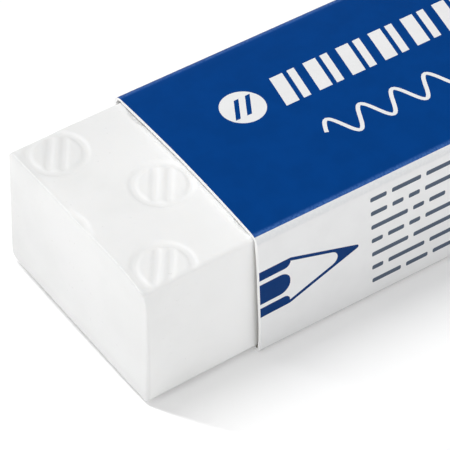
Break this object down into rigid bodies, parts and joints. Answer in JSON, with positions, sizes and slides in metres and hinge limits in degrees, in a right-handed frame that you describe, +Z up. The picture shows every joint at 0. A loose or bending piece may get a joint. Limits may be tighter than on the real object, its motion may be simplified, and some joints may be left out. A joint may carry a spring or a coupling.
{
  "type": "plastic eraser",
  "caption": "White plastic eraser block in a folded card sleeve, printed blue on top and pale on the sides, that slides along the block.",
  "frame": {"origin": "on the surface that the sleeve lies on, under the middle of the eraser block", "axes": "+X along the block from its bare end to its covered end, +Y across it, +Z up out of the printed top panel"},
  "size_m": [0.065, 0.024, 0.0156],
  "materials": {
    "eraser_plastic": "matte",
    "printed_card": "satin"
  },
  "bodies": {
    "block": {"eraser_block": "eraser_plastic"},
    "wrap": {"sleeve": "printed_card"}
  },
  "joints": [
    {"name": "sleeve_slide", "type": "slide", "parent": "block", "child": "wrap", "axis": [1, 0, 0], "range_m": [-0.0122, 0.0328]}
  ]
}
